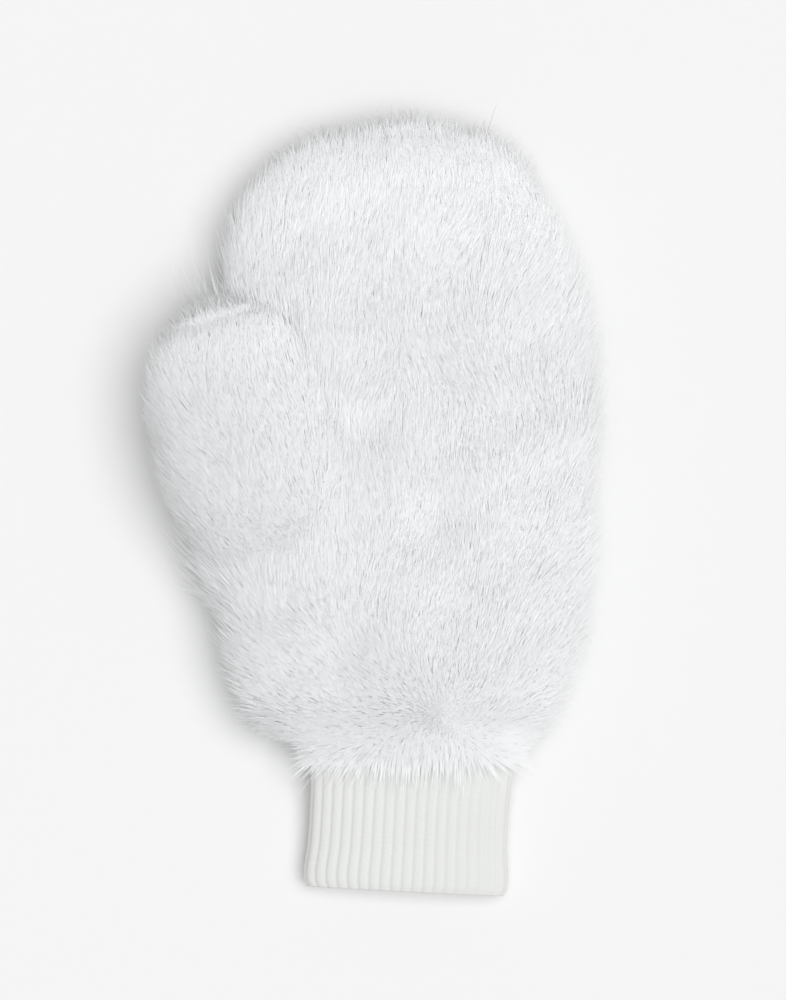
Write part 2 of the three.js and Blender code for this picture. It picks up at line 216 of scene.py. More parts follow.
# The pouch from wrist to fingertips: along is a share of HAND_LENGTH, left and right of half the
# hand's width, height of its height, lift of the palm's height over the floor, pile of HAND_PILE
# and nap of HAND_NAP, its lean. It leans towards the fingertips, except near the wrist, where it
# is turned outwards and back over the cuff: turn is a share of half a turn.
HAND_SECTIONS = [
    dict(along=0.0, left=0.82, right=0.79, height=1.0, lift=0.7, pile=0.08, nap=1.5, turn=0.95),
    dict(along=0.05, left=0.86, right=0.83, height=1.0, lift=0.78, pile=0.62, nap=0.9, turn=0.6),
    dict(along=0.11, left=0.91, right=0.88, height=1.0, lift=0.88, pile=0.88, nap=0.85, turn=0.34),
    dict(along=0.18, left=0.95, right=0.93, height=1.0, lift=0.96, pile=1.0, nap=0.9, turn=0.22),
    dict(along=0.3, left=1.01, right=1.01, height=1.0, lift=1.0, pile=1.0, nap=1.0, turn=0.1),
    dict(along=0.45, left=1.03, right=1.04, height=1.0, lift=1.0, pile=1.0, nap=1.0, turn=0.0),
    dict(along=0.6, left=1.02, right=1.04, height=1.0, lift=1.0, pile=1.0, nap=1.0, turn=0.0),
    dict(along=0.7, left=1.0, right=1.02, height=0.98, lift=0.99, pile=1.0, nap=1.0, turn=0.0),
    dict(along=0.78, left=0.985, right=0.96, height=0.95, lift=0.97, pile=1.0, nap=1.0, turn=0.0),
    dict(along=0.84, left=0.98, right=0.89, height=0.9, lift=0.95, pile=1.0, nap=1.0, turn=0.0),
    dict(along=0.9, left=0.89, right=0.8, height=0.82, lift=0.93, pile=1.0, nap=0.9, turn=0.0),
    dict(along=0.94, left=0.75, right=0.71, height=0.72, lift=0.92, pile=0.98, nap=0.7, turn=0.0),
    dict(along=0.97, left=0.54, right=0.55, height=0.58, lift=0.91, pile=0.97, nap=0.5, turn=0.0),
    dict(along=0.99, left=0.3, right=0.28, height=0.4, lift=0.91, pile=0.97, nap=0.3, turn=0.0),
]

# The thumb from its hidden start to its tip: along is a share of THUMB_LENGTH, width of
# THUMB_WIDTH, height of its height, rise of THUMB_RISE, pile of THUMB_PILE and nap of THUMB_NAP.
THUMB_SECTIONS = [
    dict(along=0.0, width=0.76, height=0.8, rise=0.0, pile=0.4, nap=0.2),
    dict(along=0.2, width=0.9, height=0.94, rise=0.4, pile=0.75, nap=0.6),
    dict(along=0.42, width=1.0, height=1.0, rise=0.75, pile=1.0, nap=1.0),
    dict(along=0.64, width=1.0, height=1.0, rise=0.93, pile=1.0, nap=1.0),
    dict(along=0.8, width=0.93, height=0.95, rise=1.0, pile=1.0, nap=1.0),
    dict(along=0.91, width=0.8, height=0.82, rise=1.0, pile=0.95, nap=0.5),
    dict(along=0.97, width=0.54, height=0.6, rise=1.0, pile=0.9, nap=0.2),
]

# The cuff from wrist to hem: along is a share of CUFF_LENGTH, width and height of the cuff's,
# lift of the way up from the hem's height to the wrist's, wall of the knit's thickness.
CUFF_SECTIONS = [
    dict(along=0.0, width=1.0, height=1.0, lift=1.0, wall=0.7),
    dict(along=0.13, width=1.0, height=1.0, lift=1.0, wall=1.0),
    dict(along=0.4, width=0.985, height=1.0, lift=0.62, wall=1.0),
    dict(along=0.7, width=0.99, height=1.0, lift=0.2, wall=1.0),
    dict(along=0.96, width=1.01, height=1.0, lift=0.0, wall=1.0),
    dict(along=1.0, width=1.0, height=0.95, lift=0.0, wall=0.6),
]

# Where the pile on the upper side lies parted: across is a share of half the hand's width from
# its middle, along of its length, spread of half its width and depth of the pile's.
DENTS = [
    dict(across=0.1, along=0.36, spread=0.2, depth=0.24),
    dict(across=0.28, along=0.23, spread=0.18, depth=0.22),
    dict(across=-0.36, along=0.15, spread=0.24, depth=0.2),
    dict(across=0.7, along=0.36, spread=0.2, depth=0.18),
    dict(across=0.3, along=0.07, spread=0.2, depth=0.18),
    dict(across=-0.22, along=0.52, spread=0.18, depth=0.2),
]

HAND_HEIGHT = HAND_HOLLOW + 2 * FABRIC_THICKNESS
THUMB_HEIGHT = THUMB_HOLLOW + 2 * FABRIC_THICKNESS
PALM_HEIGHT = PRESSED_PILE + HAND_HEIGHT / 2
WRIST_HEIGHT = HAND_SECTIONS[0]["lift"] * PALM_HEIGHT
SLEEVE_WALL = SEAM_GAP + FABRIC_THICKNESS
UP = np.array([0.0, 0.0, 1.0])
HAND_AXIS = np.array([0.0, 1.0, 0.0])
THUMB_AXIS = np.array([-math.sin(THUMB_SPLAY), math.cos(THUMB_SPLAY), 0.0])
THUMB_START = np.array([-THUMB_ACROSS * HAND_WIDTH / 2, THUMB_ALONG * HAND_LENGTH, PALM_HEIGHT])

# The place of the mitten's own origin in the frame: its wrist seam is the pouch's lowest y, and
# the cuff's right side is its largest x.
ORIGIN = np.array([
    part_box("rib_cuff")[1].x - WRIST_OFFSET - CUFF_WIDTH / 2,
    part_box("hand_shell")[0].y,
    0.0,
])


def curves_of(table):
    """A table as smooth curves: the value of a named column at a share of the way."""
    shares = np.array([row["along"] for row in table])
    columns = {k: np.array([row[k] for row in table]) for k in table[0]}
    last = len(table) - 1

    def at(name, along):
        along = np.clip(along, shares[0], shares[-1])
        i = np.clip(np.searchsorted(shares, along, "right") - 1, 0, last - 1)
        width = shares[i + 1] - shares[i]
        before = np.where(i > 0, shares[i] - shares[i - 1], width)
        after = np.where(i < last - 1, shares[np.minimum(i + 2, last)] - shares[i + 1], width)
        value = columns[name]
        start, end = value[i], value[i + 1]
        previous = np.where(i > 0, value[i - 1], end)
        following = np.where(i < last - 1, value[np.minimum(i + 2, last)], start)
        t = (along - shares[i]) / width
        p, n = width / 2 / before, width / 2 / after
        result = (2 * p * t**2 - p * t**3 - p * t) * previous
        result += ((1 + p) * t**3 + (-1.5 - 2 * p) * t**2 + (p - 0.5) * t + 1) * start
        result += ((-1 - n) * t**3 + (1.5 + n) * t**2 + 0.5 * t) * end
        return result + (n * t**3 - n * t**2) * following

    return at


hand_at = curves_of(HAND_SECTIONS)
thumb_at = curves_of(THUMB_SECTIONS)
cuff_at = curves_of(CUFF_SECTIONS)


def smoothstep(value, low, high):
    t = np.clip((value - low) / (high - low), 0, 1)
    return t * t * (3 - 2 * t)


def closing(table, along):
    """1 up to the table's last section, then down to 0 at the closed end, round like a dome."""
    left = np.clip((1 - along) / (1 - table[-1]["along"]), 0, 1)
    return np.sqrt(1 - (1 - left) ** 2)


def superellipse(angle, across, up):
    power = 2 / FLATNESS
    c, s = np.cos(angle), np.sin(angle)
    return np.sign(c) * np.abs(c) ** power * across, np.sign(s) * np.abs(s) ** power * up


def hand_section(along, on_left):
    """Half width, half height and middle of the pouch's backing at a share of its length."""
    sleeve = 1 - smoothstep(along * HAND_LENGTH, CUFF_INSET, CUFF_INSET + WRIST_FLARE)
    close = closing(HAND_SECTIONS, along)
    side = np.where(on_left, hand_at("left", along), hand_at("right", along))
    across = side * HAND_WIDTH / 2 * (1 - sleeve) + (CUFF_WIDTH / 2 + SLEEVE_WALL) * sleeve
    up = hand_at("height", along) * HAND_HEIGHT / 2 * (1 - sleeve)
    up = up + (CUFF_HEIGHT / 2 + SLEEVE_WALL) * sleeve
    height = hand_at("lift", along) * PALM_HEIGHT * (1 - sleeve) + WRIST_HEIGHT * sleeve
    return across * close, up * close, WRIST_OFFSET * sleeve, height


def hand_point(along, angle, grow=0.0):
    """A point of the pouch's backing, grown outwards in its section."""
    across, up, middle, height = hand_section(along, np.cos(angle) < 0)
    x, z = superellipse(angle, np.maximum(across + grow, 0), np.maximum(up + grow, 0))
    return np.stack([x + middle, along * HAND_LENGTH, z + height], axis=-1)


def turn_about_z(points, angle):
    c, s = math.cos(angle), math.sin(angle)
    x, y, z = points[..., 0], points[..., 1], points[..., 2]
    return np.stack([c * x - s * y, s * x + c * y, z], axis=-1)


def turn_about_y(points, angle):
    c, s = math.cos(angle), math.sin(angle)
    x, y, z = points[..., 0], points[..., 1], points[..., 2]
    return np.stack([c * x + s * z, y, -s * x + c * z], axis=-1)


def thumb_section(along):
    close = closing(THUMB_SECTIONS, along)
    across = thumb_at("width", along) * THUMB_WIDTH / 2 * close
    return across, thumb_at("height", along) * THUMB_HEIGHT / 2 * close


def thumb_point(along, angle, grow=0.0):
    """A point of the thumb's backing, grown outwards in its section."""
    across, up = thumb_section(along)
    x, z = superellipse(angle, np.maximum(across + grow, 0), np.maximum(up + grow, 0))
    local = np.stack([x, along * THUMB_LENGTH, z], axis=-1)
    point = turn_about_z(turn_about_y(local, -THUMB_ROLL), THUMB_SPLAY) + THUMB_START
    point[..., 2] += thumb_at("rise", along) * THUMB_RISE
    return point


def reach(x, z, across, up):
    """How far out a point of a section lies: 1 on its superellipse."""
    return ((np.abs(x) / across) ** FLATNESS + (np.abs(z) / up) ** FLATNESS) ** (1 / FLATNESS)


def in_hand(points):
    """Whether each point lies in the pouch or its under-fur."""
    along = points[..., 1] / HAND_LENGTH
    share = np.clip(along, 0, 1)
    across, up, middle, height = hand_section(share, points[..., 0] < 0)
    pile = hand_at("pile", share) * HAND_PILE
    across, up = across + pile * UNDER_FUR[0], up + pile * UNDER_FUR[1]
    out = reach(points[..., 0] - middle, points[..., 2] - height, across, up)
    return (out < 1) & (along > 0) & (along < 1)


def round_thumb(points):
    """How far out each point lies from the thumb's axis: 1 on its under-fur, more past its ends."""
    local = turn_about_z(points - THUMB_START, -THUMB_SPLAY)
    along = local[..., 1] / THUMB_LENGTH
    share = np.clip(along, 0, 1)
    local[..., 2] -= thumb_at("rise", share) * THUMB_RISE
    local = turn_about_y(local, THUMB_ROLL)
    across, up = thumb_section(share)
    pile = thumb_at("pile", share) * THUMB_PILE
    across, up = across + pile * UNDER_FUR[0], up + pile * UNDER_FUR[1]
    past_ends = END_STEEPNESS * np.abs(along - share)
    return reach(local[..., 0], local[..., 2], across, up) + past_ends


def unit(vectors):
    return vectors / np.maximum(np.linalg.norm(vectors, axis=-1, keepdims=True), 1e-12)


def combed(surface, along, angle, axis):
    """The way the pile stands on a surface, the part of an axis along it, and its facing.

    The pile stands out from the surface and fans out round the closed end.
    """
    step = 1e-3
    ahead = np.minimum(along + step, 1.0)
    forward = surface(ahead, angle) - surface(ahead - 2 * step, angle)
    round_it = surface(along, angle + step) - surface(along, angle - step)
    facing = unit(np.cross(unit(forward), unit(round_it)))
    fan = END_FAN * smoothstep(along, END_FAN_FROM, 1)
    normal = unit(facing + axis * fan[..., None])
    return normal, axis - normal * (normal @ axis)[..., None], facing


def mesh_object(name, points, faces, material):
    mesh = bpy.data.meshes.new(name)
    mesh.from_pydata((points + ORIGIN).tolist(), [], faces)
    mesh.validate()
    mesh.polygons.foreach_set("use_smooth", [True] * len(mesh.polygons))
    mesh.materials.append(material)
    obj = bpy.data.objects.new(name, mesh)
    bpy.context.scene.collection.objects.link(obj)
    return obj


def grid_faces(rows, columns, start=0):
    """Quads of a grid that closes round its columns."""
    i = np.arange(rows - 1)[:, None] * columns
    j = np.arange(columns)[None, :]
    k = (j + 1) % columns
    return (start + np.stack([i + j, i + k, i + columns + k, i + columns + j], -1)).reshape(-1, 4)


def even_angles(count, across, up):
    """Angles that divide a superellipse into equal lengths, from its right end over its top."""
    fine = np.linspace(0, 2 * math.pi, SECTION_STEPS)
    x, z = superellipse(fine, across, up)
    lengths = np.concatenate([[0], np.cumsum(np.hypot(np.diff(x), np.diff(z)))])
    return np.interp(np.linspace(0, lengths[-1], count, endpoint=False), lengths, fine)


# Strands

def by_facing(pair, normal):
    """From a pair's value at the sides to its value on the upper side, as the normal turns up."""
    at_sides, on_top = pair
    return at_sides + (on_top - at_sides) * np.clip(normal[..., 2], 0, 1)


def noise(points, scale, seed):
    """Smooth values from about -1 to 1 over space, as a sum of waves with seeded directions."""
    rng = np.random.default_rng(seed)
    total = np.zeros(points.shape[:-1])
    for _ in range(WAVES):
        direction = rng.normal(size=3)
        direction *= rng.uniform(*WAVE_PITCHES) / np.linalg.norm(direction)
        total += np.sin(points @ direction * (2 * math.pi / scale) + rng.uniform(0, 2 * math.pi))
    return total / math.sqrt(WAVES / 2) / WAVE_CREST


def scatter(surface, count, low, high, weight, rng):
    """Shares of the way and angles of roots, spread evenly over a surface by a weight."""
    fine_along = np.linspace(low, high, SCATTER_ROWS)
    fine_angle = np.linspace(0, 2 * math.pi, SCATTER_COLUMNS)
    a, b = np.meshgrid(fine_along, fine_angle, indexing="ij")
    points = surface(a, b)
    down = points[1:, :-1] - points[:-1, :-1]
    over = points[:-1, 1:] - points[:-1, :-1]
    area = np.linalg.norm(np.cross(down, over), axis=-1)
    chance = area * weight(points[:-1, :-1])
    edges = np.cumsum(chance.ravel())
    cell = np.searchsorted(edges, rng.uniform(0, edges[-1], count))
    row, column = np.unravel_index(cell, chance.shape)
    along = fine_along[row] + rng.uniform(0, 1, count) * (fine_along[1] - fine_along[0])
    angle = fine_angle[column] + rng.uniform(0, 1, count) * (fine_angle[1] - fine_angle[0])
    return along, angle


def mixed_up(cell, seed):
    """Three values from 0 to 1 for each cell of space, the same whenever the cell comes up."""
    mixed = cell @ CELL_STEPS + seed * SEED_STEP
    waves = [np.sin(mixed * k) * MIXING_HEIGHT for k in MIXING_WAVES]
    return np.stack([np.modf(np.abs(wave))[0] for wave in waves], axis=-1)


def tuft_of(points, size, seed):
    """For each point, the way to the middle of the nearest tuft."""
    cell = np.floor(points / size).astype(int)
    best = np.full(len(points), np.inf)
    pull = np.zeros_like(points)
    for step in itertools.product((-1, 0, 1), repeat=3):
        near = cell + np.array(step)
        away = (near + mixed_up(near, seed)) * size - points
        distance = np.linalg.norm(away, axis=-1)
        closer = distance < best
        best = np.where(closer, distance, best)
        pull[closer] = away[closer]
    return pull


def along_surface(vectors, normal):
    return vectors - normal * np.sum(vectors * normal, axis=-1, keepdims=True)


def strand_paths(root, normal, nap, height, lean, wild, rings):
    """Points of curved strands: each rises from its root and lies down along the nap."""
    first = unit(normal + nap * (lean * ROOT_LEAN)[:, None] + wild)
    last = unit(normal * TIP_RISE + nap * (lean * TIP_LEAN)[:, None] + wild * TIP_WILDNESS)
    t = np.linspace(0, 1, rings + 1)[None, :, None]
    shape = first[:, None, :] * (t - t * t / 2) + last[:, None, :] * (t * t / 2)
    rise = np.sum(shape[:, -1] * normal, axis=-1)
    length = height / np.maximum(rise, LEAST_RISE)
    return root[:, None, :] + shape * length[:, None, None]


def gather(paths, pull):
    """Pulls the strands together into tufts, most at their tips."""
    t = np.linspace(0, 1, paths.shape[1])[None, :, None] ** PULL_POWER
    return paths + pull[:, None, :] * t


def ribbon_corners(rings):
    """The order of a ribbon's points round its faces, and how many corners each face has."""
    ring = np.arange(rings - 1)[:, None] * 2 + np.array([0, 1, 3, 2])
    order = np.append(ring.ravel(), [2 * rings - 2, 2 * rings - 1, 2 * rings])
    return order, [4] * (rings - 1) + [3]


def ribbon_map(rings, order, count, rng):
    """Where each corner lies on the map: up its own hair, within one of the columns."""
    up = np.append(np.repeat(np.arange(rings) / rings, 2), 1.0)
    over = np.append(np.tile([UV_MARGIN, 1 - UV_MARGIN], rings), 0.5)
    column = rng.integers(0, UV_COLUMNS, (count, 1))
    uv = np.broadcast_arrays((column + over[order]) / UV_COLUMNS, up[order])
    return np.stack(uv, axis=-1).reshape(-1, 2)


def ribbons(paths, facing, width, rng):
    """Tapered ribbons along the paths, facing outwards and each rolled a little.

    They are shaded as fine round fibres of one soft surface.
    """
    count, rings = paths.shape[0], paths.shape[1] - 1
    along = unit(np.gradient(paths, axis=1))
    outwards = unit(facing + UP * RIBBON_LIFT)
    flat = unit(np.cross(along, outwards[:, None, :]))
    roll = rng.uniform(-RIBBON_ROLL, RIBBON_ROLL, (count, 1, 1))
    side = flat * np.cos(roll) + np.cross(flat, along) * np.sin(roll)
    half = side[:, :-1] * np.linspace(1, RIBBON_TAPER, rings)[None, :, None] * width / 2
    edges = np.stack([paths[:, :-1] - half, paths[:, :-1] + half], axis=2)
    glow = unit(facing + UP * LIGHT_THROUGH)[:, None, :]
    soft = glow * (1 - FIBRE_SHADING) + np.cross(side, along) * FIBRE_SHADING
    bent = side[:, :-1] * FIBRE_ROUNDING
    shades = np.stack([soft[:, :-1] - bent, soft[:, :-1] + bent], axis=2)
    order, sizes = ribbon_corners(rings)
    each = 2 * rings + 1
    return {
        "points": np.concatenate([edges.reshape(count, -1, 3), paths[:, -1:]], 1).reshape(-1, 3),
        "shading": np.concatenate([shades.reshape(count, -1, 3), soft[:, -1:]], 1).reshape(-1, 3),
        "corners": (order + np.arange(count)[:, None] * each).ravel(),
        "sizes": np.tile(sizes, count),
        "uv": ribbon_map(rings, order, count, rng),
    }


def fur_object(name, groups, material):
    """One mesh of several groups of ribbons."""
    ahead = np.cumsum([0] + [len(group["points"]) for group in groups])
    corners = np.concatenate([g["corners"] + n for g, n in zip(groups, ahead)])
    points, shading, sizes, uv = [
        np.concatenate([group[key] for group in groups])
        for key in ("points", "shading", "sizes", "uv")
    ]
    mesh = bpy.data.meshes.new(name)
    mesh.vertices.add(len(points))
    mesh.vertices.foreach_set("co", (points + ORIGIN).astype(np.float32).ravel())
    mesh.loops.add(len(corners))
    mesh.loops.foreach_set("vertex_index", corners.astype(np.int32))
    mesh.polygons.add(len(sizes))
    mesh.polygons.foreach_set("loop_start", (np.cumsum(sizes) - sizes).astype(np.int32))
    mesh.polygons.foreach_set("loop_total", sizes.astype(np.int32))
    mesh.update(calc_edges=True)
    mesh.polygons.foreach_set("use_smooth", np.ones(len(sizes), bool))
    mesh.normals_split_custom_set_from_vertices(unit(shading).tolist())
    layer = mesh.uv_layers.new(name="OFBake")
    layer.data.foreach_set("uv", uv.astype(np.float32).ravel())
    mesh.materials.append(material)
    obj = bpy.data.objects.new(name, mesh)
    bpy.context.scene.collection.objects.link(obj)
    return obj


def settle(paths):
    """Strands that would reach under the floor lie on it."""
    height = paths[..., 2]
    lying = FLOOR_CLEARANCE + (height - FLOOR_CLEARANCE) * LYING_SPREAD
    height = np.where(height < FLOOR_CLEARANCE, lying, height)
    paths[..., 2] = np.maximum(height, LOWEST_HAIR)
    return paths


def unevenness(point, seed):
    return 1 + UNEVEN_DEPTH * noise(point, UNEVEN_SIZE, seed)


def hand_depth(point, along, angle):
    """The pile's depth over the hand, less in the dents of the upper side."""
    share = hand_at("pile", along) * unevenness(point, HAND_DEPTH_SEED)
    upper = np.sin(angle) > 0
    for dent in DENTS:
        across = point[..., 0] - dent["across"] * HAND_WIDTH / 2
        away = np.hypot(across, point[..., 1] - dent["along"] * HAND_LENGTH)
        hollow = np.exp(-((away / (dent["spread"] * HAND_WIDTH / 2)) ** 2))
        share = share * np.where(upper, 1 - dent["depth"] * hollow, 1)
    return share * HAND_PILE


def thumb_depth(point, along, angle):
    """The pile's depth over the thumb, whatever the angle."""
    return thumb_at("pile", along) * THUMB_PILE * unevenness(point, THUMB_DEPTH_SEED)


def tuft_pull(foot, normal, seed, rng):
    """The pull of wide and fine tufts along the surface, none at the wrist's edge."""
    stray = rng.normal(size=foot.shape) * TUFT_STRAY
    wide = along_surface(tuft_of(foot + stray * WIDE_TUFT, WIDE_TUFT, seed + 3), normal)
    fine = along_surface(tuft_of(foot + stray * FINE_TUFT, FINE_TUFT, seed + 4), normal)
    free = 1 - np.exp(-np.maximum(foot[:, 1], 0) / (2 * FRINGE_SPREAD))
    wide_pull, fine_pull = by_facing(WIDE_PULL, normal), by_facing(FINE_PULL, normal)
    return wide * (wide_pull * free)[:, None] + fine * (fine_pull * free)[:, None]


def lie(foot, root, normal, nap, facing, rise, lean, seed, rng):
    """Guard hairs and down over roots, combed along the nap with soft swirls and tufts."""
    swirl = sum(turn * noise(foot, size, seed + i) for i, (size, turn) in enumerate(SWIRLS, 1))
    nap = nap + np.cross(normal, nap) * swirl[:, None]
    pull = tuft_pull(foot, normal, seed, rng)
    groups = []
    start = 0
    for kind in (GUARD_HAIRS, DOWN):
        part = slice(start, start + kind["count"])
        start += kind["count"]
        up = normal[part]
        height = rise[part] * by_facing(kind["height"], up)
        height = height * rng.uniform(by_facing(SHORTEST, up), LONGEST)
        wild = rng.normal(size=up.shape) * by_facing(WILDNESS, up)[:, None]
        bend = lean[part] * by_facing(LEAN, up)
        paths = strand_paths(root[part], up, nap[part], height, bend, wild, kind["rings"])
        paths = settle(gather(paths, pull[part]))
        groups.append(ribbons(paths, facing[part], kind["width"], rng))
    return groups


def fringe(foot, facing, rng):
    """How much higher single hairs stand at the wrist's edge, from where they fall over the cuff."""
    near = np.exp(-np.maximum(foot[:, 1], 0) / FRINGE_SPREAD) * np.abs(facing[:, 2])
    return FRINGE * near * rng.uniform(0, 1, len(foot)) ** FRINGE_POWER


def turned_nap(foot, along, normal, nap):
    """The nap, turned outwards and back near the wrist, to either side of the cowlick."""
    wander = TURN_WANDER * noise(foot, TURN_WANDER_SIZE, TURN_SEED)
    turn = hand_at("turn", along + wander) * math.pi
    outwards = np.cross(normal, nap) * -np.tanh((foot[:, :1] - COWLICK) / COWLICK_SPREAD)
    return nap * np.cos(turn)[:, None] + outwards * np.sin(turn)[:, None]


def hand_weight(points):
    """How thickly roots are spread over the hand."""
    return np.where(points[..., 2] < UNDERSIDE_TOP, UNDERSIDE_HAIRS, 1.0)


def hand_strands(name, low, high, material, seed):
    rng = np.random.default_rng(seed)
    tried = int(HAIRS * HAND_ROOTS_TRIED)
    along, angle = scatter(hand_point, tried, low, high, hand_weight, rng)
    foot = hand_point(along, angle)
    normal, nap, facing = combed(hand_point, along, angle, HAND_AXIS)
    depth = hand_depth(foot, along, angle)
    share = by_facing(UNDER_FUR, normal)
    root = foot + normal * (depth * share)[:, None]
    out = round_thumb(root)
    keep = np.flatnonzero(out > 1)[:HAIRS]
    bridge = CREASE_FILL * np.exp(-((out - 1) / CREASE_SPREAD) ** 2)
    rise = depth * (1 - share) * (1 + bridge) + fringe(foot, facing, rng)
    nap = turned_nap(foot, along, normal, nap)
    facing = unit(facing + UP * bridge[:, None])
    lean = hand_at("nap", along) * HAND_NAP
    hairs = [a[keep] for a in (foot, root, normal, nap, facing, rise, lean)]
    return fur_object(name, lie(*hairs, seed=HAND_TUFT_SEED, rng=rng), material)


def thumb_strands(name, material, seed):
    rng = np.random.default_rng(seed)
    tried = HAIRS * THUMB_ROOTS_TRIED
    along, angle = scatter(thumb_point, tried, THUMB_FUR_START, FUR_END, lambda points: 1.0, rng)
    foot = thumb_point(along, angle)
    normal, nap, facing = combed(thumb_point, along, angle, THUMB_AXIS)
    depth = thumb_depth(foot, along, angle)
    share = by_facing(UNDER_FUR, normal)
    root = foot + normal * (depth * share)[:, None]
    keep = np.flatnonzero(~in_hand(root))[:HAIRS]
    rise, lean = depth * (1 - share), thumb_at("nap", along) * THUMB_NAP
    facing = unit(facing + UP * np.clip(facing[:, :1], 0, 1) * CREASE_GLOW)
    hairs = [a[keep] for a in (foot, root, normal, nap, facing, rise, lean)]
    return fur_object(name, lie(*hairs, seed=THUMB_TUFT_SEED, rng=rng), material)


# Under-fur bodies

def wall_faces(rows, columns, inner_rows):
    """Faces of a closed wall: an outer grid, an inner one, a rim between them and two end caps."""
    inner = rows * columns
    around = list(range(columns))
    faces = [face[::-1] for face in grid_faces(rows, columns).tolist()]
    faces += grid_faces(inner_rows, columns, inner).tolist()
    faces += [[i, (i + 1) % columns, inner + (i + 1) % columns, inner + i] for i in around]
    faces.append([inner - columns + i for i in reversed(around)])
    faces.append([inner + (inner_rows - 1) * columns + i for i in around])
    return faces


def under_fur_body(name, surface, axis, depth_at, hollow_end, grid, material):
    """A closed wall: the soft under-fur outside, the backing's inner face inside."""
    rows, columns = grid
    inner_rows = rows // 3
    angles = even_angles(columns, HAND_WIDTH / 2, HAND_HEIGHT / 2)
    along = np.minimum(1 - (1 - np.linspace(0, 1, rows)) ** ROW_CROWDING, LAST_ROW)
    a, b = np.meshgrid(along, angles, indexing="ij")
    foot = surface(a, b)
    normal = combed(surface, a, b, axis)[0]
    depth = depth_at(foot, a, b) * (by_facing(UNDER_FUR, normal) - ROOTED)
    outside = foot + normal * depth[..., None]
    outside[..., 2] = np.maximum(outside[..., 2], LOWEST_UNDER_FUR)
    a, b = np.meshgrid(np.linspace(0, hollow_end, inner_rows), angles, indexing="ij")
    within = surface(a, b, -FABRIC_THICKNESS)
    points = np.concatenate([outside.reshape(-1, 3), within.reshape(-1, 3)])
    return mesh_object(name, points, wall_faces(rows, columns, inner_rows), material)


# Knit cuff

def cuff_ring(along, angles, inset):
    """Points of the cuff at a share of its length, with its surface moved in by inset."""
    past = along * CUFF_LENGTH - CUFF_INSET
    bend = smoothstep(past, 0, CUFF_BEND)
    height = cuff_at("lift", along)
    z = CUFF_HEIGHT / 2 * (1 - height) + WRIST_HEIGHT * height
    across = cuff_at("width", along) * CUFF_WIDTH / 2 - inset
    up = cuff_at("height", along) * CUFF_HEIGHT / 2 - inset
    x, dz = superellipse(angles, across, up)
    turn = -CUFF_SWING * bend
    middle = WRIST_OFFSET - np.tan(CUFF_SWING) * past * bend
    z = np.maximum(z + dz, 0)
    return np.stack([x * np.cos(turn) + middle, x * np.sin(turn) - past, z], axis=-1)


def knit_relief(along, rib):
    """How deep the knit lies under its ribs' crests: the valleys between ribs, and the stitches."""
    valley = (0.5 - 0.5 * np.cos(2 * math.pi * rib)) ** VALLEY_POWER
    beat = np.abs(np.sin(math.pi * along * CUFF_LENGTH / STITCH_LENGTH))
    return RIB_DEPTH * valley + STITCH_DEPTH * (1 - beat) * (1 - valley)


def cuff_faces(rows, columns, inner_rows):
    """Faces of the cuff: an outer grid, an inner one with every other column, and two rims."""
    half = columns // 2
    inner = rows * columns
    hem, top = inner - columns, inner + (inner_rows - 1) * half
    faces = grid_faces(rows, columns).tolist()
    faces += grid_faces(inner_rows, half, inner).tolist()
    for i in range(half):
        j = (i + 1) % half
        o0, o1, o2 = 2 * i, 2 * i + 1, (2 * i + 2) % columns
        faces += [[hem + o0, hem + o1, inner + i], [hem + o1, hem + o2, inner + j]]
        faces.append([hem + o1, inner + j, inner + i])
        faces += [[o1, o0, top + i], [o2, o1, top + j], [o1, top + i, top + j]]
    return faces


def knit_cuff(material):
    columns = RIB_COUNT * POINTS_A_RIB
    angles = even_angles(columns, CUFF_WIDTH / 2, CUFF_HEIGHT / 2)
    rib = np.arange(columns)[None, :] / POINTS_A_RIB
    a, b = np.meshgrid(np.linspace(0, 1, CUFF_ROWS), angles, indexing="ij")
    edge = (1 - cuff_at("wall", a)) * KNIT_THICKNESS / 2
    outside = cuff_ring(a, b, edge + knit_relief(a, rib))
    a, b = np.meshgrid(np.linspace(1, 0, CUFF_INNER_ROWS), angles[::2], indexing="ij")
    wall = (1 + cuff_at("wall", a)) * KNIT_THICKNESS / 2
    ripple = INNER_RIB_DEPTH * np.cos(2 * math.pi * rib[:, ::2])
    within = cuff_ring(a, b, wall + ripple)
    points = np.concatenate([outside.reshape(-1, 3), within.reshape(-1, 3)])
    faces = cuff_faces(CUFF_ROWS, columns, CUFF_INNER_ROWS)
    return mesh_object("knit_cuff", points, faces, material)


# Materials

def material_of(name, values):
    """A new material, its nodes and links, with values on its shader's own sockets."""
    material = bpy.data.materials.new(name)
    material.use_nodes = True
    nodes, links = material.node_tree.nodes, material.node_tree.links
    for socket, value in values.items():
        nodes["Principled BSDF"].inputs[socket].default_value = value
    return material, nodes, links


def ramp_of(nodes, links, source, colours, last_at=1.0):
    """A colour between two, chosen by a socket's value."""
    ramp = nodes.new("ShaderNodeValToRGB")
    for element, colour in zip(ramp.color_ramp.elements, colours):
        element.color = (*colour, 1)
    ramp.color_ramp.elements[1].position = last_at
    links.new(source, ramp.inputs["Fac"])
    return ramp.outputs["Color"]


def calculated(nodes, links, operation, source, value=None):
    """The result of a sum on a socket's value, with the sum's second number if it has one."""
    node = nodes.new("ShaderNodeMath")
    node.operation = operation
    links.new(source, node.inputs[0])
    if value is not None:
        node.inputs[1].default_value = value
    return node.outputs[0]


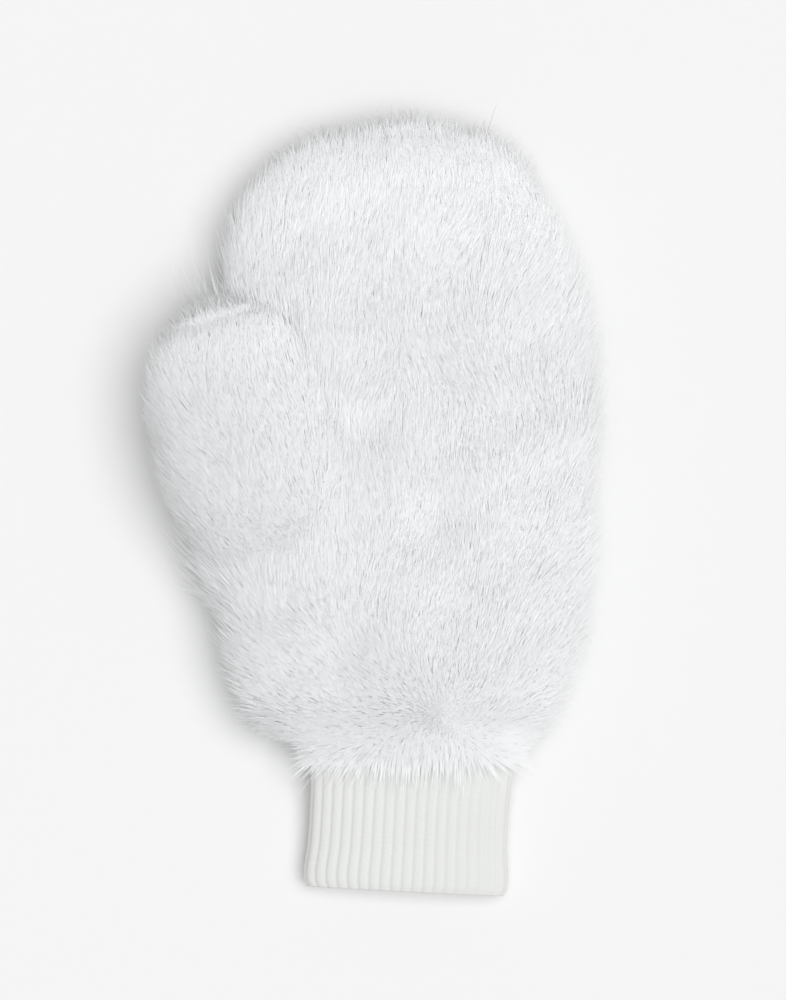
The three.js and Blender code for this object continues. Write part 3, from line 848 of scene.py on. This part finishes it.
def hair_shade(nodes, links, across):
    """A brightness for each hair, from the column that it has on the map."""
    column = calculated(nodes, links, "MULTIPLY", across, UV_COLUMNS)
    whole = calculated(nodes, links, "FLOOR", column)
    shade = nodes.new("ShaderNodeTexWhiteNoise")
    shade.noise_dimensions = "1D"
    links.new(whole, shade.inputs["W"])
    level = nodes.new("ShaderNodeMapRange")
    level.inputs["To Min"].default_value = HAIR_LEVELS[0]
    level.inputs["To Max"].default_value = HAIR_LEVELS[1]
    links.new(shade.outputs["Value"], level.inputs["Value"])
    return level.outputs["Result"]


def strand_material():
    """White fibres: cooler and a little darker at the root, each with its own shade."""
    material, nodes, links = material_of("white_fur_strands", {
        "Roughness": 0.75,
        "Sheen Weight": 0.25,
        "Sheen Roughness": 0.5,
        "Specular IOR Level": 0.25,
    })
    uv = nodes.new("ShaderNodeUVMap")
    uv.uv_map = "OFBake"
    split = nodes.new("ShaderNodeSeparateXYZ")
    links.new(uv.outputs["UV"], split.inputs["Vector"])
    colour = ramp_of(nodes, links, split.outputs["Y"], HAIR_COLOURS, HAIR_TIP_FROM)
    tint = nodes.new("ShaderNodeVectorMath")
    tint.operation = "SCALE"
    links.new(colour, tint.inputs[0])
    links.new(hair_shade(nodes, links, split.outputs["X"]), tint.inputs["Scale"])
    shader = nodes["Principled BSDF"]
    through = nodes.new("ShaderNodeBsdfTranslucent")
    mix = nodes.new("ShaderNodeMixShader")
    mix.inputs["Fac"].default_value = HAIR_TRANSLUCENCY
    links.new(tint.outputs["Vector"], shader.inputs["Base Color"])
    links.new(tint.outputs["Vector"], through.inputs["Color"])
    links.new(shader.outputs["BSDF"], mix.inputs[1])
    links.new(through.outputs["BSDF"], mix.inputs[2])
    links.new(mix.outputs["Shader"], nodes["Material Output"].inputs["Surface"])
    return material


def mottled(made, colours, scale, detail, strength, distance):
    """A material as material_of made it, with fine mottling in its colour and relief."""
    material, nodes, links = made
    shader = nodes["Principled BSDF"]
    place = nodes.new("ShaderNodeTexCoord")
    grain = nodes.new("ShaderNodeTexNoise")
    grain.inputs["Scale"].default_value = scale
    grain.inputs["Detail"].default_value = detail
    links.new(place.outputs["Object"], grain.inputs["Vector"])
    colour = ramp_of(nodes, links, grain.outputs["Fac"], colours)
    links.new(colour, shader.inputs["Base Color"])
    bump = nodes.new("ShaderNodeBump")
    bump.inputs["Strength"].default_value = strength
    bump.inputs["Distance"].default_value = distance
    links.new(grain.outputs["Fac"], bump.inputs["Height"])
    links.new(bump.outputs["Normal"], shader.inputs["Normal"])
    return material


def under_fur_material():
    """The dense short under-fur, mottled and downy, darkened with painted shade of the deep pile."""
    made = material_of("white_under_fur", {
        "Roughness": 0.95,
        "Sheen Weight": 0.2,
        "Specular IOR Level": 0.1,
    })
    return mottled(
        made, UNDER_FUR_SHADED_COLOURS, scale=900, detail=4, strength=0.5, distance=0.6 * MM,
    )


def knit_material():
    """Soft matte yarn, faintly warm, with its plied fibres as bump and a little variation."""
    made = material_of("white_knit_yarn", {
        "Roughness": 0.9,
        "Sheen Weight": 0.3,
        "Specular IOR Level": 0.15,
    })
    return mottled(made, KNIT_COLOURS, scale=1400, detail=3, strength=0.4, distance=0.2 * MM)


def floor_material():
    return material_of("pale_floor", {
        "Base Color": (FLOOR_SHADE, FLOOR_SHADE, FLOOR_SHADE, 1),
        "Roughness": 1.0,
        "Specular IOR Level": 0.0,
    })[0]


# Studio

def add_camera():
    data = bpy.data.cameras.new("camera")
    data.sensor_width = SENSOR
    data.lens = SENSOR * CAMERA_DISTANCE / (MM_A_PIXEL * PHOTO_HEIGHT)
    camera = bpy.data.objects.new("camera", data)
    camera.location = (CAMERA_X, CAMERA_Y, CAMERA_DISTANCE + OUTLINE_HEIGHT)
    bpy.context.scene.collection.objects.link(camera)
    bpy.context.scene.camera = camera


def add_floor():
    ends = [(-1, -1, 0), (1, -1, 0), (1, 1, 0), (-1, 1, 0)]
    corners = np.array(ends) * FLOOR_REACH - ORIGIN
    mesh_object("floor", corners, [[0, 1, 2, 3]], floor_material())


def add_light():
    world = bpy.data.worlds.new("studio")
    world.use_nodes = True
    background = world.node_tree.nodes["Background"]
    background.inputs["Color"].default_value = (1, 1, 1, 1)
    background.inputs["Strength"].default_value = WORLD_LIGHT
    bpy.context.scene.world = world
    data = bpy.data.lights.new("key", "SUN")
    data.energy = KEY_LIGHT
    data.angle = KEY_ANGLE
    lamp = bpy.data.objects.new("key", data)
    lamp.rotation_euler = (-Vector(KEY_TOWARDS)).to_track_quat("-Z", "Y").to_euler()
    bpy.context.scene.collection.objects.link(lamp)


def set_look():
    scene = bpy.context.scene
    scene.view_settings.view_transform = "Standard"
    scene.cycles.max_bounces = BOUNCES
    scene.cycles.diffuse_bounces = BOUNCES
    scene.cycles.transmission_bounces = BOUNCES


def own(piece, node):
    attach(piece, "root")
    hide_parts(node)


def add_under_fur():
    material = under_fur_material()
    hand = under_fur_body(
        "hand_under_fur", hand_point, HAND_AXIS, hand_depth, HAND_HOLLOW_END, HAND_GRID, material,
    )
    own(hand, "hand_shell")
    thumb = under_fur_body(
        "thumb_under_fur", thumb_point, THUMB_AXIS, thumb_depth, THUMB_HOLLOW_END, THUMB_GRID,
        material,
    )
    own(thumb, "thumb_shell")


def add_strands():
    material = strand_material()
    names = ["wrist_fur", "palm_fur", "knuckle_fur", "finger_fur"]
    ends = [0.0, 0.26, 0.5, 0.74, FUR_END]
    for index, name in enumerate(names):
        low, high = ends[index:index + 2]
        piece = hand_strands(name, low, high, material, STRAND_SEED + index)
        own(piece, "hand_shell")
    thumb = thumb_strands("thumb_fur", material, STRAND_SEED + len(names))
    own(thumb, "thumb_shell")


add_camera()
add_floor()
add_light()
set_look()
add_under_fur()
add_strands()
own(knit_cuff(knit_material()), "rib_cuff")
